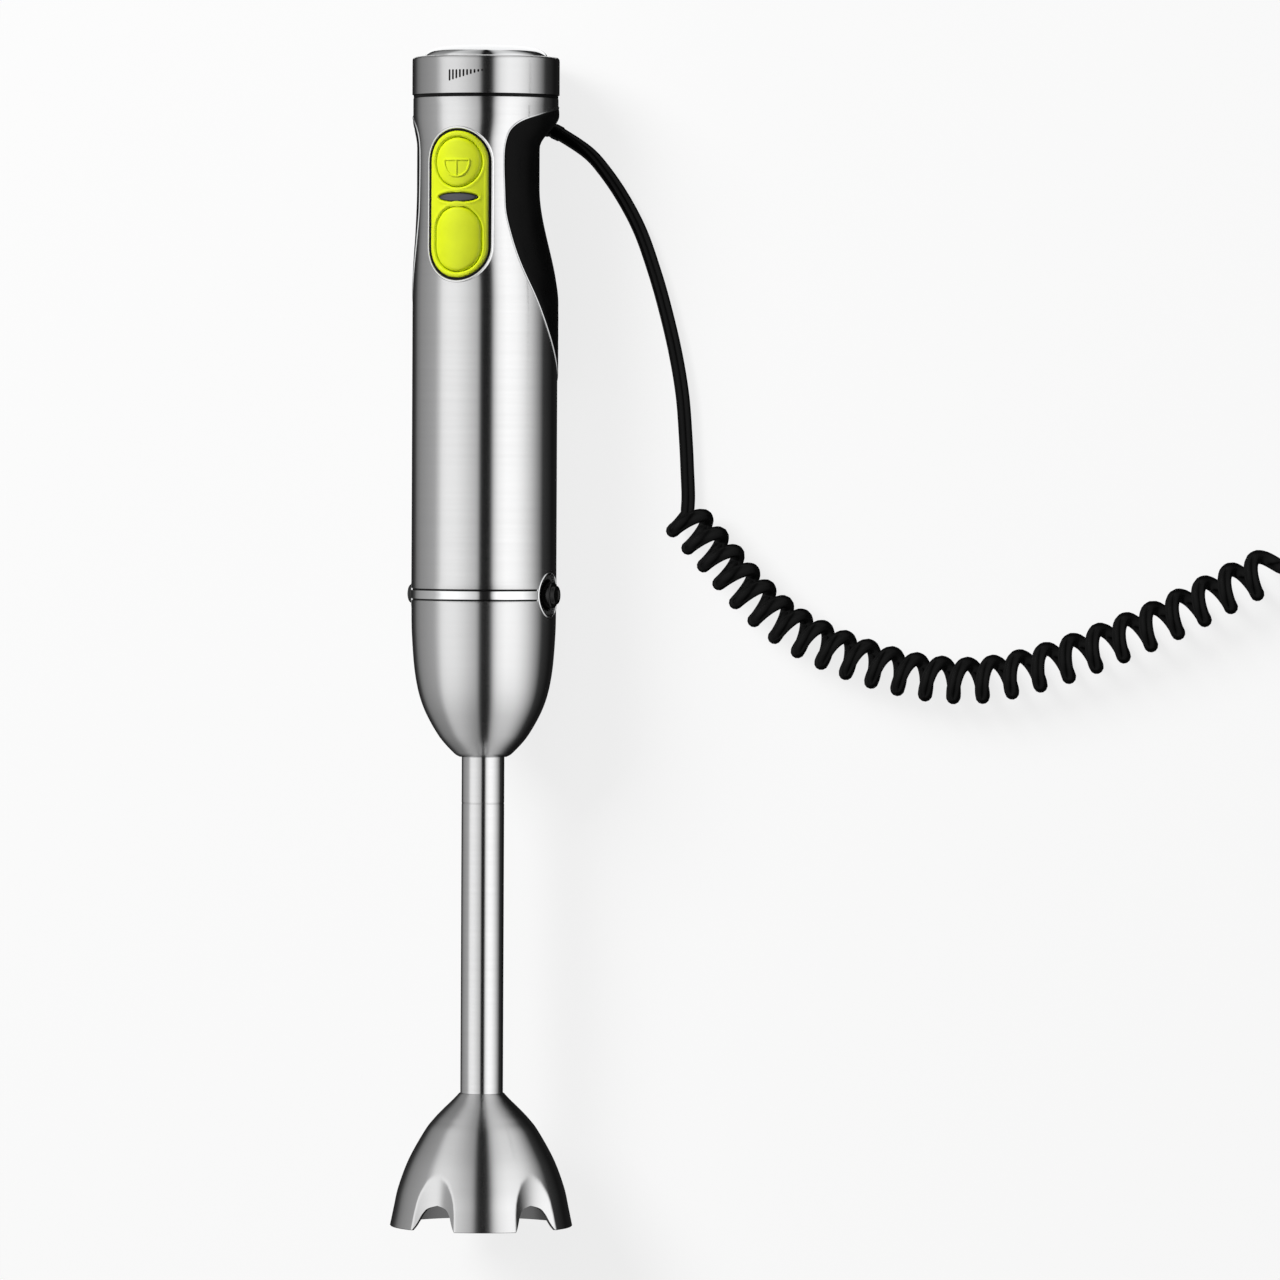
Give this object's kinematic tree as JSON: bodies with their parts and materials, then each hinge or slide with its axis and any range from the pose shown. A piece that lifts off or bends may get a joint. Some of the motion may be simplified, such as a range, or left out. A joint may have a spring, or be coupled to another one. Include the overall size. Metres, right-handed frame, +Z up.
{
  "type": "immersion blender",
  "caption": "Slim steel hand blender lying on its back: speed dial, two soft buttons, rubber grip, detachable shaft with scalloped blade bell, curly mains cord and plug.",
  "frame": {"origin": "on the table under the middle of the blender's length", "axes": "+X towards the speed dial, -X towards the bell, +Z up, which is the side with the buttons, -Y the side that the cord leaves to"},
  "size_m": [0.4075, 0.3745, 0.0629],
  "materials": {
    "brushed_steel": "fine brushing round the axis",
    "polished_steel": "polished",
    "dark_steel": "machined",
    "copper": "drawn copper",
    "brass": "satin",
    "yellow_rubber": "satin moulded",
    "grip_rubber": "satin soft-touch",
    "mount_rubber": "matt",
    "cord_rubber": "semi-gloss",
    "black_button": "semi-gloss",
    "black_plastic": "moulded",
    "plug_plastic": "moulded",
    "white_plastic": "moulded nylon",
    "circuit_board": "solder mask",
    "smoked_lens": "smoked, glossy"
  },
  "bodies": {
    "handle": {"body_shell": "brushed_steel", "rear_grip": "grip_rubber", "chassis_front": "black_plastic", "chassis_rear": "black_plastic", "trim_band": "polished_steel", "base_plate": "black_plastic", "latch_frame": "white_plastic", "release_plate_left": "black_plastic", "release_plate_right": "black_plastic", "button_frame": "black_plastic", "button_panel": "yellow_rubber", "indicator_lens": "smoked_lens", "control_board": "circuit_board", "power_switch": "black_plastic", "turbo_switch": "black_plastic", "glide_ring": "black_plastic", "head_plate": "black_plastic", "potentiometer": "dark_steel", "stator": "dark_steel", "field_coil_left": "copper", "field_coil_right": "copper", "brush_holder_left": "brass", "brush_holder_right": "brass", "bearing_lower": "polished_steel", "bearing_upper": "polished_steel", "motor_bracket_lower": "white_plastic", "motor_bracket_upper": "white_plastic", "motor_mount_lower": "mount_rubber", "motor_mount_upper": "mount_rubber", "cord_strain_relief": "cord_rubber", "cord_lead": "cord_rubber", "cord_curl": "cord_rubber", "cord_tail": "cord_rubber", "plug_body": "plug_plastic", "plug_pin_left": "brass", "plug_pin_right": "brass"},
    "dial": {"dial_ring": "brushed_steel", "dial_cap": "polished_steel", "dial_carrier": "black_plastic"},
    "power_button": {"power_button": "yellow_rubber"},
    "turbo_button": {"turbo_button": "yellow_rubber"},
    "release_button_left": {"release_button_left": "black_button"},
    "release_button_right": {"release_button_right": "black_button"},
    "motor": {"armature": "dark_steel", "motor_shaft": "dark_steel", "commutator": "copper", "cooling_fan": "black_plastic", "drive_coupling": "white_plastic"},
    "foot": {"foot_cone": "brushed_steel", "foot_collar": "black_plastic", "shaft_tube": "brushed_steel", "bell_guard": "brushed_steel", "upper_bush": "brass", "lower_bush": "brass", "shaft_seal": "mount_rubber"},
    "blade_drive": {"drive_shaft": "dark_steel", "driven_coupling": "white_plastic", "blade_hub": "dark_steel", "blade": "polished_steel", "blade_nut": "dark_steel"}
  },
  "joints": [
    {"name": "speed_dial", "type": "hinge", "parent": "handle", "child": "dial", "pos_m": [0.19195, 0, 0.02542], "axis": [0.9999, 0, -0.0154], "range_deg": [-141.7, 128.3]},
    {"name": "power_press", "type": "slide", "parent": "handle", "child": "power_button", "axis": [-0.0154, 0, -0.9999], "range_m": [0, 0.0012], "stiffness_N_per_m": 1500, "springref_m": -0.0004},
    {"name": "turbo_press", "type": "slide", "parent": "handle", "child": "turbo_button", "axis": [-0.0154, 0, -0.9999], "range_m": [0, 0.0012], "stiffness_N_per_m": 1500, "springref_m": -0.0004},
    {"name": "release_press_left", "type": "slide", "parent": "handle", "child": "release_button_left", "axis": [0, -1, 0], "range_m": [0, 0.002], "stiffness_N_per_m": 1500, "springref_m": -0.0004},
    {"name": "release_press_right", "type": "slide", "parent": "handle", "child": "release_button_right", "axis": [0, 1, 0], "range_m": [0, 0.002], "stiffness_N_per_m": 1500, "springref_m": -0.0004},
    {"name": "foot_release", "type": "slide", "parent": "handle", "child": "foot", "axis": [-0.9999, 0, 0.0154], "range_m": [0, 0.06]},
    {"name": "motor_spin", "type": "hinge", "parent": "handle", "child": "motor", "pos_m": [0.05997, 0, 0.02745], "axis": [0.9999, 0, -0.0154], "continuous": true},
    {"name": "blade_spin", "type": "hinge", "parent": "foot", "child": "blade_drive", "pos_m": [-0.10301, 0, 0.02996], "axis": [0.9999, 0, -0.0154], "continuous": true}
  ],
  "couplings": [
    {"joint": "blade_spin", "follows": "motor_spin", "ratio": 1}
  ]
}
